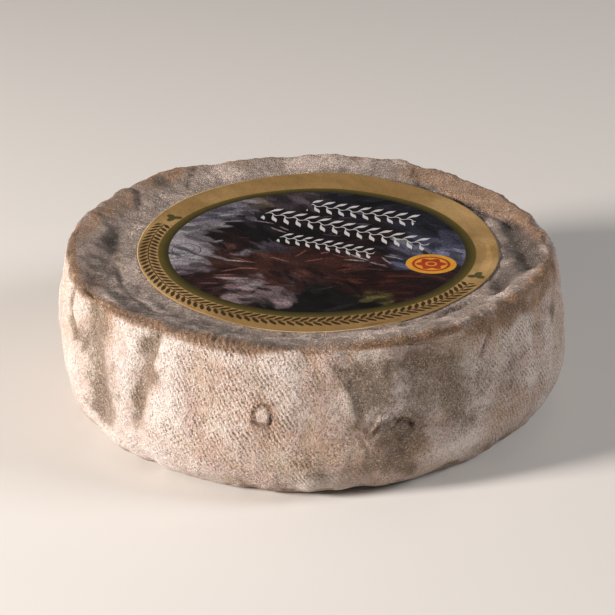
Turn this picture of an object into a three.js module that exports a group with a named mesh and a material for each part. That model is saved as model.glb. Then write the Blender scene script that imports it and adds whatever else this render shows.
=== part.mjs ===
// A small farmhouse wheel of pressed, mould-ripened cheese with a round paper label on its top face.
// Millimetres, +Z up. The origin is the middle of the base, and the wheel's front is towards -Y.
// Angles run round the wheel in degrees from the front, positive towards +X.
import * as THREE from "three";
import { mergeVertices } from "three/addons/utils/BufferGeometryUtils.js";

// Driving dimensions
const wheelRadius = 65; // at the belly, where the wheel is widest
const wheelHeight = 40.7; // to the crest of the rim
const bellyHeight = 15; // how high the belly is above the base
const footInset = 9; // how far the flat base stops short of the belly
const rimInset = 3; // how far the side leans in on its way up to the rim
const rimRounding = 2.4; // radius of the rim's outer corner
const dishDepth = 2.8; // how far the middle of the top has sunk below the rim
const dishTilt = 1.7; // how much deeper the sunken top is at its front edge, and shallower behind
const dishFloorRadius = 44; // inside this radius the sunken top is flat, and leans forwards
const labelMargin = 13.4; // bare rind left between the label and the rim's crest, on average
const labelShiftRight = 1.9; // the label was stuck on a little off the wheel's middle
const labelShiftBack = 1.2;
const labelThickness = 0.3;
const labelGap = 0.3; // clearance between the rind and the label
const footLiftReach = 3; // a lifted foot is clear of the shelf this far in from the flat base's edge
const facetWidth = 4.2; // of the facets round the wheel and the label, at their edges
const ringStep = 2.4; // between the rings of the dished top, from its edge in to the dish's floor

// Derived dimensions
const flatRadius = wheelRadius - footInset;
const rimRadius = wheelRadius - rimInset - rimRounding;
const labelRadius = rimRadius - labelMargin;

// Lobes of the outline, which is never quite round: waves round the wheel, height of each wave,
// and the angle of its crest.
const lobes = [
  { waves: 2, height: 0.25, crest: 70 },
  { waves: 3, height: 0.25, crest: -20 },
  { waves: 5, height: 0.3, crest: 12 },
  { waves: 8, height: 0.22, crest: -150 },
];
// Swells of the rim's crest, in the same terms.
const rimSwells = [
  { waves: 2, height: 0.35, crest: 20 },
  { waves: 3, height: 0.25, crest: 150 },
  { waves: 7, height: 0.18, crest: -30 },
];
// Dents in the side: angle, height as a share of the wheel's, half-width round the wheel,
// half-length upwards, depth, and how far the dent leans round the wheel per millimetre upwards.
const sideDents = [
  { angle: -77, height: 0.76, width: 3, length: 9, depth: 0.9, lean: 0 },
  { angle: -64, height: 0.8, width: 3.2, length: 9, depth: 1.1, lean: -0.35 },
  { angle: -53, height: 0.63, width: 4.2, length: 14, depth: 1.6, lean: -0.1 },
  { angle: -50, height: 0.34, width: 4.5, length: 6, depth: 1, lean: 0 },
  { angle: -37.5, height: 0.71, width: 3.4, length: 10, depth: 1.1, lean: 0 },
  { angle: 22, height: 0.54, width: 18, length: 15, depth: 1.5, lean: 0 },
  { angle: 20, height: 0.37, width: 5, length: 5, depth: 0.8, lean: 0 },
  { angle: 66, height: 0.76, width: 8, length: 6, depth: 0.6, lean: 0 },
  { angle: 118, height: 0.59, width: 13, length: 13, depth: 1.2, lean: 0.1 },
  { angle: 152, height: 0.66, width: 5, length: 12, depth: 1.1, lean: 0.2 },
  { angle: -168, height: 0.49, width: 16, length: 12, depth: 1.3, lean: 0 },
  { angle: -128, height: 0.63, width: 4, length: 12, depth: 1.1, lean: -0.2 },
  { angle: -112, height: 0.54, width: 9, length: 12, depth: 0.9, lean: 0 },
];
// Dents in the top face: angle, distance from the middle as a share of the rim's, half-width round
// the wheel, half-length outwards, and depth.
const topDents = [
  { angle: -90, distance: 0.9, width: 7, length: 3, depth: 1.3 },
  { angle: -62, distance: 0.92, width: 9, length: 3.5, depth: 0.6 },
  { angle: 92, distance: 0.94, width: 11, length: 2.6, depth: 1.6 },
  { angle: 128, distance: 0.87, width: 8, length: 2.6, depth: 1 },
  { angle: 62, distance: 0.9, width: 6, length: 3.5, depth: 0.8 },
  { angle: -142, distance: 0.92, width: 5, length: 4, depth: 0.7 },
  { angle: 158, distance: 0.96, width: 7, length: 4, depth: 0.5 },
];
// Where the rim is worn rounder than elsewhere: angle, half-width round the wheel, and extra wear.
const rimWear = [
  { angle: 118, width: 38, depth: 1.1 },
  { angle: -128, width: 26, depth: 0.9 },
  { angle: 55, width: 18, depth: 0.5 },
];
// Scallops where the foot lifts clear of the shelf: angle, half-width round the wheel, and height.
const footLifts = [
  { angle: -52, width: 5, depth: 1 },
  { angle: -14, width: 6, depth: 0.9 },
  { angle: 10, width: 7, depth: 1 },
  { angle: 33, width: 9, depth: 1.4 },
  { angle: 96, width: 9, depth: 1 },
  { angle: 160, width: 10, depth: 1.2 },
  { angle: -122, width: 9, depth: 1.1 },
];

const radians = THREE.MathUtils.degToRad;
const smooth = THREE.MathUtils.smoothstep;
const bell = (offset) => Math.exp(-offset * offset);

// How far round the wheel, in millimetres at this distance, an angle is from a dent's own.
function arcFrom(dent, angle, distance) {
  const turn = THREE.MathUtils.euclideanModulo(angle - radians(dent.angle) + Math.PI, 2 * Math.PI);
  return (turn - Math.PI) * distance;
}

function sumOf(list, amount) {
  return list.reduce((sum, entry) => sum + amount(entry), 0);
}

function wavesAt(list, angle) {
  return sumOf(list, (wave) => wave.height * Math.cos(wave.waves * (angle - radians(wave.crest))));
}

function bellsAt(list, angle) {
  return sumOf(list, (dent) => dent.depth * bell(arcFrom(dent, angle, wheelRadius) / dent.width));
}

// How far the side has been pushed in at this angle and height.
function sideDentAt(angle, height) {
  return sumOf(sideDents, (dent) => {
    const up = height - dent.height * wheelHeight;
    const round = arcFrom(dent, angle, wheelRadius) - dent.lean * up;
    return dent.depth * bell(round / dent.width) * bell(up / dent.length);
  });
}

// How far the top face has been pushed down at this angle and distance from the middle.
function topDentAt(angle, distance) {
  return sumOf(topDents, (dent) => {
    const middle = dent.distance * rimRadius;
    const round = arcFrom(dent, angle, middle);
    return dent.depth * bell(round / dent.width) * bell((distance - middle) / dent.length);
  });
}

// How far the top face has sunk: a flat floor that leans forwards, and a smooth bank out to the rim.
function sunkenAt(angle, distance) {
  const lean = dishTilt * Math.cos(angle) * Math.min(distance / dishFloorRadius, 1);
  return (dishDepth + lean) * (1 - smooth(distance, dishFloorRadius, rimRadius));
}

// Moves a point of the true, round wheel to where it is on the uneven one. The base stays flat.
function weathered(point) {
  const distance = Math.hypot(point.x, point.y);
  const angle = Math.atan2(point.x, -point.y);
  const towardsRim = smooth(distance, dishFloorRadius / 2, rimRadius);
  const towardsTop = smooth(point.z, wheelHeight / 2, wheelHeight - rimRounding);
  const towardsFoot = 1 - smooth(point.z, 0, bellyHeight);
  const corner = towardsTop * smooth(distance, rimRadius - 2 * rimRounding, rimRadius + rimRounding);
  const wear = corner * bellsAt(rimWear, angle);
  const underside = towardsFoot * smooth(distance, flatRadius - footLiftReach, wheelRadius);
  const lift = underside * bellsAt(footLifts, angle);
  const sunken = sunkenAt(angle, distance) + topDentAt(angle, distance);
  const swell = towardsRim * wavesAt(rimSwells, angle) - sunken;
  const bulge = towardsRim * (wavesAt(lobes, angle) - sideDentAt(angle, point.z));
  const out = distance + bulge - wear - lift;
  const up = point.z + towardsTop * swell - wear + lift;
  return new THREE.Vector3(out * Math.sin(angle), -out * Math.cos(angle), up);
}

// A closed mesh that keeps only its positions, with shared vertices merged.
function closed(geometry) {
  geometry.deleteAttribute("normal");
  geometry.deleteAttribute("uv");
  return mergeVertices(geometry);
}

function moved(geometry, move) {
  const position = geometry.attributes.position;
  const point = new THREE.Vector3();
  for (let i = 0; i < position.count; i++) {
    point.fromBufferAttribute(position, i);
    position.setXYZ(i, ...move(point).toArray());
  }
  geometry.computeVertexNormals();
  return geometry;
}

// A solid of revolution about Z, from a profile of (distance, height) points.
function turned(profile, radius) {
  const segments = Math.ceil((2 * Math.PI * radius) / facetWidth);
  return closed(new THREE.LatheGeometry(profile, segments).rotateX(Math.PI / 2));
}

// Distances of a dished face's rings, from its edge to its middle. The wheel's top and the label
// both use it, close enough together that the label's facets never reach the rind's.
function ringDistances(radius) {
  const span = radius - dishFloorRadius;
  const steps = Math.ceil(span / ringStep);
  const outer = Array.from({ length: steps }, (_, i) => radius - (i * span) / steps);
  const floor = [1, 0.75, 0.5, 0.25, 0].map((share) => share * dishFloorRadius);
  return [...outer, ...floor];
}

// Half of the new wheel's cross-section: flat base, round foot, leaning side, rounded rim, flat top.
function wheelProfile() {
  const shoulderHeight = wheelHeight - rimRounding;
  const base = [0, 0.35, 0.65, 0.88].map((share) => new THREE.Vector2(share * flatRadius, 0));
  const foot = new THREE.EllipseCurve(flatRadius, bellyHeight, footInset, bellyHeight, -Math.PI / 2, 0);
  const side = new THREE.QuadraticBezierCurve(
    new THREE.Vector2(wheelRadius, bellyHeight),
    new THREE.Vector2(wheelRadius, (bellyHeight + shoulderHeight) / 2),
    new THREE.Vector2(wheelRadius - rimInset, shoulderHeight),
  );
  const rim = new THREE.EllipseCurve(rimRadius, shoulderHeight, rimRounding, rimRounding, 0, Math.PI / 2);
  const top = ringDistances(rimRadius).map((distance) => new THREE.Vector2(distance, wheelHeight));
  const outside = [...foot.getPoints(7), ...side.getPoints(8).slice(1, -1), ...rim.getPoints(4)];
  return [...base, ...outside, ...top.slice(1)];
}

function makeWheel() {
  return moved(turned(wheelProfile(), wheelRadius), weathered);
}

// A thin disc whose underside follows the top face at labelGap above it.
function makeLabel() {
  const rings = ringDistances(labelRadius);
  const under = rings.toReversed().map((distance) => new THREE.Vector2(distance, 0));
  const over = rings.map((distance) => new THREE.Vector2(distance, labelThickness));
  const disc = turned([...under, ...over], labelRadius).translate(labelShiftRight, labelShiftBack, 0);
  return moved(disc, (point) => {
    const aboveRind = point.z + labelGap;
    const rindPoint = weathered(point.setZ(wheelHeight));
    return rindPoint.setZ(rindPoint.z + aboveRind);
  });
}

function piece(name, geometry, material) {
  const mesh = new THREE.Mesh(geometry, material);
  mesh.name = name;
  return mesh;
}

const rind = new THREE.MeshStandardMaterial({ color: 0xb9a794, roughness: 0.9, metalness: 0 });
const paper = new THREE.MeshStandardMaterial({ color: 0x6b4a2e, roughness: 0.55, metalness: 0 });

const cheese = new THREE.Group();
cheese.add(piece("cheese_wheel", makeWheel(), rind));
cheese.add(piece("label", makeLabel(), paper));

export default cheese;
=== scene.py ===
# A small farmhouse cheese: mottled, cloth-marked rind, dished top face and a round paper label.
# Shapes are worked out in millimetres and put into the meshes in metres.
# Angles run round the wheel in degrees from its front (-Y), positive towards +X.
import math
from types import SimpleNamespace

import bpy
import numpy as np
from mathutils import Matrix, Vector


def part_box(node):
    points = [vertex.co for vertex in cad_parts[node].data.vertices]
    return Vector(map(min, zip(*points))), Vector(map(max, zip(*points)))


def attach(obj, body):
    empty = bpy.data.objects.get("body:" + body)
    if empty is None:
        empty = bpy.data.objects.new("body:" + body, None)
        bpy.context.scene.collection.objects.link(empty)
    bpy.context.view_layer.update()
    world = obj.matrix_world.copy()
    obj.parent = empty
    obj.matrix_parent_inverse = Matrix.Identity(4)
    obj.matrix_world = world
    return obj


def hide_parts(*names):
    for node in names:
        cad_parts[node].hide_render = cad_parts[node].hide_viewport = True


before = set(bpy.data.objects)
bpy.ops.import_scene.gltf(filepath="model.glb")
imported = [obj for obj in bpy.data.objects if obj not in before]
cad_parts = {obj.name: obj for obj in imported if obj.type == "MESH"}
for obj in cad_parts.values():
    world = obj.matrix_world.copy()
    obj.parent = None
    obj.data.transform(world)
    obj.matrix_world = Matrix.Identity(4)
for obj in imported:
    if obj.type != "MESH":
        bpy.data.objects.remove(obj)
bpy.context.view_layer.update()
print("frame loaded:", sorted(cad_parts))

mm = 0.001
wheelLow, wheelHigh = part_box("cheese_wheel")
labelLow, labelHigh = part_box("label")


def bell(offset):
    # the bell curve, 1 in the middle and e to the minus offset squared elsewhere
    return np.exp(-offset * offset)


def smooth(value, low, high):
    # 0 at low, 1 at high, eased at both ends
    share = np.clip((value - low) / (high - low), 0, 1)
    return share * share * (3 - 2 * share)


def turnFrom(angle, middle):
    # degrees from the middle angle to this one, the short way round
    return (angle - middle + 180) % 360 - 180


def stretch(angle, start, full, last, end):
    # rises from start to full, holds, and falls from last to end
    return smooth(angle, start, full) * smooth(angle, end, last)


def softNoise(points, spacing, seed):
    # random values on a cubic lattice of this spacing, blended smoothly between corners: -1 to 1
    size = 48
    lattice = np.random.default_rng(seed).uniform(-1, 1, (size, size, size))
    cell = points / spacing
    corner = np.floor(cell).astype(int)
    share = cell - corner
    share = share * share * (3 - 2 * share)
    total = np.zeros(cell.shape[:-1])
    for step in np.ndindex(2, 2, 2):
        weight = np.prod(np.where(step, share, 1 - share), axis=-1)
        total += weight * lattice[tuple(np.moveaxis((corner + step) % size, -1, 0))]
    return total


def cloudNoise(points, spacing, octaves, seed):
    # soft noise plus finer ones, each half as wide and half as strong
    return sum(softNoise(points, spacing / 2**k, seed + k) / 2**k for k in range(octaves))


def nearPath(across, up, path, perDegree, width):
    # 1 on a path of (angle, height) or (angle, distance) points, falling off as a bell of this
    # half-width in mm; the distance is to the nearest of the path's straight stretches
    nearest = np.full(across.shape, 1e6)
    for (a0, u0), (a1, u1) in zip(path, path[1:]):
        x0, dx, dy = a0 * perDegree, (a1 - a0) * perDegree, u1 - u0
        share = np.clip(((across - x0) * dx + (up - u0) * dy) / (dx * dx + dy * dy), 0, 1)
        nearest = np.minimum(nearest, np.hypot(across - x0 - share * dx, up - u0 - share * dy))
    return bell(nearest / width)


def blobs(angle, up, spots, radius):
    # sum of oval bells; a spot is angle, height or distance, half-width and half-length in mm, amount
    total = np.zeros(angle.shape)
    for middle, level, width, length, amount in spots:
        across = np.radians(turnFrom(angle, middle)) * radius
        total += amount * bell(across / width) * bell((up - level) / length)
    return total


wheel = {
    "radius": (wheelHigh.x - wheelLow.x) / 2 / mm,  # at the belly
    "height": wheelHigh.z / mm - 0.8,  # to the crest of the rim, before its swells
    "bellyHeight": 15,
    "footInset": 9,
    "rimInset": 2.9,
    "rimRounding": (1.7, 3.2),  # at the front left, and at the right and back where it is worn
    "dishDepth": 2.8,
    "dishTilt": 1.7,  # how much deeper the sunken top is in front, and shallower behind
    "dishFloor": 44,  # radius of the flat, leaning middle
    "dishEdge": 60.5,  # radius where the climb from it ends
    "bareRing": 54,  # radius of the middle of the ring that the label leaves bare
    "crest": 61.2,  # radius of the rim's crest
    "columns": 880,
    "rings": {"base": 8, "foot": 21, "side": 44, "rim": 12, "top": 22, "covered": 5},
    # waves round the wheel, height of the wave, angle of its crest
    "lobes": [(2, 0.25, 70), (3, 0.25, -20), (5, 0.3, 12), (8, 0.22, -150)],
    "rimSwells": [(2, 0.35, 20), (3, 0.25, 150), (7, 0.18, -30)],
    # height and spacing in mm of the rind's random lumps
    "lumps": (0.4, 13),
    "curds": (0.19, 4.2),
    "grain": (0.1, 1.5),
    "ripples": (0.3, 4.5),
    "topRipples": (0.3, 5.5),
    "topCurds": (0.4, 4.4),
    "crestCurds": (0.45, 6),
    # broad swellings and hollows of the side: angle, height, half-width, half-length, amount
    "outline": [
        (77, 14, 12, 11, 0.1), (62, 6, 12, 7, -0.7), (42, 7, 10, 8, -0.9), (-8, 4, 7, 6, 0.4),
        (-29, 7, 16, 9, 0.8), (-76, 11, 11, 10, -1.1), (-114, 38, 11, 12, -0.9), (-140, 38, 9, 9, 0.8),
        (150, 38, 12, 9, 1.3), (112, 34, 14, 14, -0.8), (128, 38, 6, 6, 0.5),
    ],
    # finger-wide hollows where mould settled
    "sideDents": [
        (-78, 31, 2.2, 8, -1.0), (-61, 35, 2.2, 5, 0.5), (-73, 30, 3, 9, 0.4), (-45, 26, 3, 10, 0.5),
        (-31, 28, 3, 9, 0.3), (-62, 14, 5, 6, 0.5), (22, 25, 15, 13, -1.4), (19, 15.5, 4, 4.5, -1.2),
        (23, 35, 4, 4, -0.7), (36, 22, 6, 6, -0.6), (12, 30, 4, 5, -0.3), (28, 26, 4, 4, 0.3),
        (46, 28, 4, 7, 0.5), (30, 10, 6, 4, 0.4), (66, 31, 7, 6, -0.5), (118, 24, 13, 13, -1.1),
        (152, 27, 5, 12, -1.0), (-168, 20, 16, 12, -1.2), (-128, 26, 4, 12, -1.0),
        (-112, 22, 9, 12, -0.8),
    ],
    # the same in the top face: angle, distance, half-width, half-length, amount
    "topDents": [
        (-92, 51, 7, 2.2, -1.1), (-60, 54, 9, 3, -0.5), (130, 50.5, 6, 2.4, -1.0),
        (150, 50, 3, 2.2, -0.6), (46, 49.5, 4, 1.6, -0.7), (-142, 55, 5, 4, -0.4),
        (-148, 61.5, 4, 1.6, 0.4), (155, 61.5, 1.6, 1.5, 0.8), (164, 57, 6, 4, -0.4),
        (18, 59, 5, 1.6, 0.4), (44, 58.5, 6, 1.6, 0.5), (115, 58, 6, 2.5, 0.5),
    ],
    # folds and cracks in the side: path of (angle, height), half-width, amount
    "sideCreases": [
        ([(-56, 41), (-55.5, 32), (-52.5, 25), (-50, 18), (-51, 12)], 3.6, -1.8),
        ([(-36, 41), (-37.5, 31), (-39, 22)], 2.6, -1.3),
        ([(-68.5, 38), (-65.5, 31), (-60, 27)], 1.2, -0.8),
        ([(-77, 38), (-76.5, 31), (-74, 25)], 0.8, -0.7),
        ([(-34.5, 40), (-36, 37)], 0.5, -0.4),
        ([(3, 36.5), (6.5, 33), (8.5, 29), (8.5, 25.5)], 1.3, 0.45),
        ([(6.5, 33.5), (9.4, 30), (10.2, 26)], 2.2, -0.25),
        ([(10.5, 20), (11.6, 16.8), (12.8, 14.4)], 0.4, -0.2),
        ([(13.6, 20.6), (15, 22.6), (17, 23.1)], 0.35, 0.8),
        ([(14.2, 19.8), (15.6, 21.6), (17.2, 22)], 0.35, -0.6),
        ([(17.6, 20.6), (19, 21.6), (21, 21.9), (22.8, 21), (24, 19)], 0.35, 0.9),
        ([(18.2, 19.8), (19.6, 20.7), (21.2, 20.9), (22.6, 19.8)], 0.4, -0.8),
        ([(22, 39.6), (25, 38.6), (29, 37.6)], 0.5, -0.6),
        ([(44, 38), (42.5, 35), (40, 31.5)], 0.5, -0.7),
        ([(96, 37), (93, 30), (95, 22)], 0.7, -0.5),
        ([(168, 38), (165, 30), (160, 26)], 0.7, -0.6),
        ([(-152, 36), (-156, 28), (-154, 20)], 0.7, -0.6),
        ([(-104, 38), (-103, 30)], 0.8, -0.6),
    ],
    # folds in the top face: path of (angle, distance), half-width, amount
    "topCreases": [
        ([(77, 55.2), (85, 54.2), (95, 53.4), (106, 54)], 2.4, -1.7),
        ([(76, 58.2), (86, 57.4), (97, 56.6)], 1.2, 0.4),
        ([(57, 54), (63, 51.8), (68, 50)], 1.6, -1.0),
        ([(38, 49.6), (44, 48.8), (50, 48.6), (56, 49.6)], 0.6, -0.8),
        ([(104, 56), (112, 52), (124, 50), (134, 49.6)], 0.9, -0.8),
        ([(140, 49), (147, 53), (149, 58)], 0.9, -0.6),
        ([(-128, 60), (-124, 55), (-118, 51)], 1.0, -0.4),
        ([(-148, 59), (-142, 53), (-139, 49.5)], 1.0, -0.4),
        ([(-75, 50), (-60, 51), (-45, 52)], 0.7, -0.35),
    ],
    # places where the foot is lifted off the shelf: angle, half-width in mm, height
    "footLifts": [
        (-56, 4, 1.1), (-38, 3, 0.6), (-14, 4, 0.9), (4, 3, 0.6), (12, 4, 1.1), (33, 8, 1.5),
        (52, 4, 0.7), (96, 9, 1.1), (125, 4, 0.6), (160, 10, 1.3), (-122, 9, 1.2), (-150, 5, 0.8),
        (-92, 5, 0.8),
    ],
    "plug": {"angle": -10, "height": 24.3, "halfWidth": 1.5, "halfLength": 2.1},
    # they rise between the first two angles and fade between the last two
    "teeth": {"from": (-88, -68), "to": (-20, 2), "pitch": 1.5, "height": 0.5},
}
label = {
    "radius": (labelHigh.x - labelLow.x) / 2 / mm,
    "middle": ((labelHigh.x + labelLow.x) / 2 / mm, (labelHigh.y + labelLow.y) / 2 / mm),
    "thickness": 0.14,
    "clearance": 0.1,  # between the rind and the paper
    "bridging": 0.3,  # the share of a dent's depth that the paper follows
    "overlap": 4,  # how far in under the paper the rind keeps its fine rings
    "waves": [(0.05, 14, 201), (0.02, 4, 205)],  # height and spacing in mm, seed
    "edgeLift": 0.28,
    # where the edge is cut short: angle, half-width in degrees, share of the radius
    "cuts": [(47, 17, 0.03), (-42, 18, 0.015)],
    "columns": 560,
    "overRings": 146,
    "underRings": 10,
}


def wavesAt(angle, waves):
    return sum(height * np.cos(np.radians(count * (angle - crest))) for count, height, crest in waves)


def rimRoundingAt(angle):
    # tight at the front left, wide at the right and back, easing between them
    tight, worn = wheel["rimRounding"]
    return tight + (worn - tight) * smooth(np.abs(turnFrom(angle, -45)), 50, 120)


def wheelProfile(angle):
    # half a cross-section for each column: level base, quarter-ellipse foot, side that leans in as
    # a parabola, quarter-round rim and dished top; returns distances and heights, ring by column
    rings, height = wheel["rings"], wheel["height"]
    rounding = rimRoundingAt(angle)
    flat = wheel["radius"] - wheel["footInset"]
    shoulder = height - rounding
    rimDistance = wheel["radius"] - wheel["rimInset"] - rounding
    same = np.ones_like(angle)

    def run(count):
        return np.linspace(0, 1, count)[:, None]

    baseDistance = run(rings["base"]) * flat * same
    turn = run(rings["foot"] + 1)[1:] * math.pi / 2
    footDistance = (flat + wheel["footInset"] * np.sin(turn)) * same
    footHeight = wheel["bellyHeight"] * (1 - np.cos(turn)) * same
    climb = run(rings["side"] + 1)[1:]
    sideDistance = wheel["radius"] - wheel["rimInset"] * climb**2 * same
    sideHeight = wheel["bellyHeight"] + (shoulder - wheel["bellyHeight"]) * climb
    rimTurn = run(rings["rim"] + 1)[1:] * math.pi / 2
    rimOut = rimDistance + rounding * np.cos(rimTurn)
    rimHeight = shoulder + rounding * np.sin(rimTurn)
    covered = label["radius"] - label["overlap"]
    topDistance = rimDistance + (covered - rimDistance) * run(rings["top"] + 1)[1:]
    floorDistance = covered * (1 - run(rings["covered"] + 1)[1:]) * same
    inward = np.vstack([topDistance, floorDistance])
    distance = np.vstack([baseDistance, footDistance, sideDistance, rimOut, inward])
    level = np.vstack([0 * baseDistance, footHeight, sideHeight, rimHeight, dishHeight(angle, inward)])
    return distance, level


def dishHeight(angle, distance):
    # a flat floor that leans forwards, then an eased climb to the rim's crest
    lean = wheel["dishTilt"] * np.cos(np.radians(angle)) * np.minimum(distance / wheel["dishFloor"], 1)
    sunken = (wheel["dishDepth"] + lean) * (1 - smooth(distance, wheel["dishFloor"], wheel["dishEdge"]))
    return wheel["height"] - sunken


def topSwell(angle, distance, dented=1.0):
    # how far the top face stands above its dish: swells of the rim, and dents at this share of
    # their depth
    rise = smooth(distance, wheel["dishFloor"] / 2, 60) * wavesAt(angle, wheel["rimSwells"])
    return rise + dented * blobs(angle, distance, wheel["topDents"], wheel["bareRing"])


def polar(angle, distance, height):
    # the point at this angle, distance from the wheel's axis and height
    turn = np.radians(angle)
    return np.stack([distance * np.sin(turn), -distance * np.cos(turn), height], axis=-1)


def plainPlaces():
    # every point of the plain profile, which way the surface faces there, and the point's place on
    # the side, in mm round the belly and mm up, bent a little so that no stain or fold is even
    angle = np.linspace(-180, 180, wheel["columns"], endpoint=False)
    distance, height = wheelProfile(angle)
    angle = np.broadcast_to(angle, distance.shape)
    alongOut, alongUp = np.gradient(distance, axis=0), np.gradient(height, axis=0)
    length = np.hypot(alongOut, alongUp)
    at = SimpleNamespace(angle=angle, distance=distance, height=height)
    at.plain = polar(angle, distance, height)
    at.outward, at.upward = alongUp / length, -alongOut / length
    at.onSide = smooth(at.outward, 0.1, 0.8)
    at.onTop = smooth(at.upward, 0.4, 0.95)
    at.onBase = smooth(-at.upward, 0.4, 0.98)
    at.behind = smooth(np.abs(angle), 105, 150)
    at.perDegree = math.radians(wheel["radius"])
    at.warp = [cloudNoise(at.plain, 6, 3, seed) for seed in (11, 21)]
    at.across = angle * at.perDegree + 1.1 * at.warp[0]
    at.up = height + 0.9 * at.warp[1]
    return at


def bumps(points, kind, octaves, seed):
    # the rind's random lumps of one kind
    height, spacing = wheel[kind]
    return height * cloudNoise(points, spacing, octaves, seed)


def aroundOnly(at, radius, rise):
    # points whose noise changes quickly round the wheel, and slowly or not at all the other way
    return polar(at.angle, 0 * at.distance + radius, rise)


def plugRelief(at):
    # a small curd plug that stands in a ragged ring; fromPlug is 1 at its edge
    plug = wheel["plug"]
    fromPlug = np.hypot((at.across - plug["angle"] * at.perDegree) / plug["halfWidth"],
                        (at.up - plug["height"]) / plug["halfLength"])
    at.fromPlug = fromPlug + 0.16 * cloudNoise(at.plain, 1.6, 2, 37)
    at.plugFace = smooth(at.fromPlug, 1.05, 0.75)
    broken = smooth(cloudNoise(at.plain, 2.2, 2, 39), -0.7, 0.5)
    groove = 0.55 * broken * bell((at.fromPlug - 1.3) / 0.25)
    lip = 0.3 * (1.3 - broken) * bell((at.fromPlug - 1.75) / 0.3)
    return 0.3 * at.plugFace - groove + lip


def clothTeeth(at):
    # the cloth's threads end in a row of teeth along the front left of the rim: a triangle wave
    teeth = wheel["teeth"]
    where = stretch(at.angle, *teeth["from"], *teeth["to"])
    zigzag = np.abs(((at.angle * at.perDegree + 1.5 * at.warp[0]) / teeth["pitch"]) % 1 - 0.5) * 2
    corner = at.onSide * smooth(at.height, wheel["height"] - 6, wheel["height"] - 1.2)
    corner = corner + at.onTop * bell((at.distance - wheel["crest"] + 0.2) / 1.6)
    return teeth["height"] * (zigzag - 0.5) * where * corner


def sideRelief(at):
    # dents, folds and the plug, and the cloth's faint ripples, which are narrow and upright
    folds = sum(amount * nearPath(at.across, at.up, path, at.perDegree, width)
                for path, width, amount in wheel["sideCreases"])
    ripples = bumps(aroundOnly(at, wheel["radius"], at.height * 0.22), "ripples", 1, 61)
    ripples = ripples * smooth(at.height, 2, 12) * at.onSide
    dents = blobs(at.angle, at.up, wheel["sideDents"], wheel["radius"])
    return dents + folds + plugRelief(at), ripples


def topRelief(at):
    # creases, and lumps drawn out towards the rim
    perDegree = math.radians(wheel["bareRing"])
    creases = sum(amount * nearPath(at.angle * perDegree + at.warp[0], at.distance + 0.7 * at.warp[1],
                                    path, perDegree, width)
                  for path, width, amount in wheel["topCreases"])
    spokes = aroundOnly(at, wheel["bareRing"], at.distance * 0.25)
    lumps = bumps(spokes, "topRipples", 3, 71)
    lumps = lumps + (1 - 0.375 * at.behind) * bumps(at.plain, "topCurds", 4, 81)
    return creases, lumps


def footLift(at):
    # how far the foot's edge is lifted off the shelf: a bell at each place, and slow waves between
    lift = sum(amount * bell(np.radians(turnFrom(at.angle, middle)) * wheel["radius"] / width)
               for middle, width, amount in wheel["footLifts"])
    lift = lift + 0.35 * (1 + softNoise(aroundOnly(at, 60, 0 * at.height), 3.2, 95))
    flatEdge = wheel["radius"] - wheel["footInset"]
    where = smooth(at.distance, flatEdge - 3, wheel["radius"] - 2)
    return lift * where * (1 - smooth(at.height, 0, wheel["bellyHeight"]))


def makeWheelSurface():
    # every ring of the profile is pushed along its own outward direction by the rind's relief:
    # lobes, hollows, folds, cracks, the ripples of the cloth and three sizes of lumps
    at = plainPlaces()
    lobe = wavesAt(at.angle, wheel["lobes"]) + blobs(at.angle, at.height, wheel["outline"], wheel["radius"])
    sideShape, ripples = sideRelief(at)
    creases, topLumps = topRelief(at)
    lumps = bumps(at.plain, "lumps", 2, 31) + bumps(at.plain, "curds", 4, 41)
    grain = bumps(at.plain, "grain", 2, 51)
    crest = bumps(aroundOnly(at, 60, 0 * at.height), "crestCurds", 3, 91) * (1 - 0.556 * at.behind)
    crest = crest * bell((at.distance - wheel["crest"] + 0.7) / 2.2) * at.onTop

    fromLabel = np.hypot(at.plain[..., 0] - label["middle"][0], at.plain[..., 1] - label["middle"][1])
    bare = smooth(fromLabel, label["radius"] - 1.2, label["radius"] + 1.2)
    push = at.onSide * (sideShape + lumps + grain + ripples)
    push += at.onTop * (topSwell(at.angle, at.distance) + bare * (creases + topLumps + grain))
    push += clothTeeth(at) + crest
    lift = footLift(at)
    hollow = (0.5 + 0.5 * cloudNoise(at.plain, 7, 3, 99)).clip(0, 1) * at.onBase
    hollow = 0.25 * hollow * smooth(at.distance, 0, 12)  # shallow dents of the base
    lobeShare = smooth(at.distance, 30, wheel["radius"]) * (1 - at.onBase)
    placed = polar(
        at.angle,
        at.distance + lobeShare * lobe + push * at.outward - 0.4 * lift,
        at.height + push * at.upward + lift + hollow,
    )
    placed[..., 2] = np.maximum(placed[..., 2], 0)
    at.relief = at.onSide * (lumps + ripples + 2 * grain)
    at.relief = at.relief + at.onTop * bare * (creases + topLumps + 2 * grain)
    return placed, wheelMarks(at)


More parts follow.
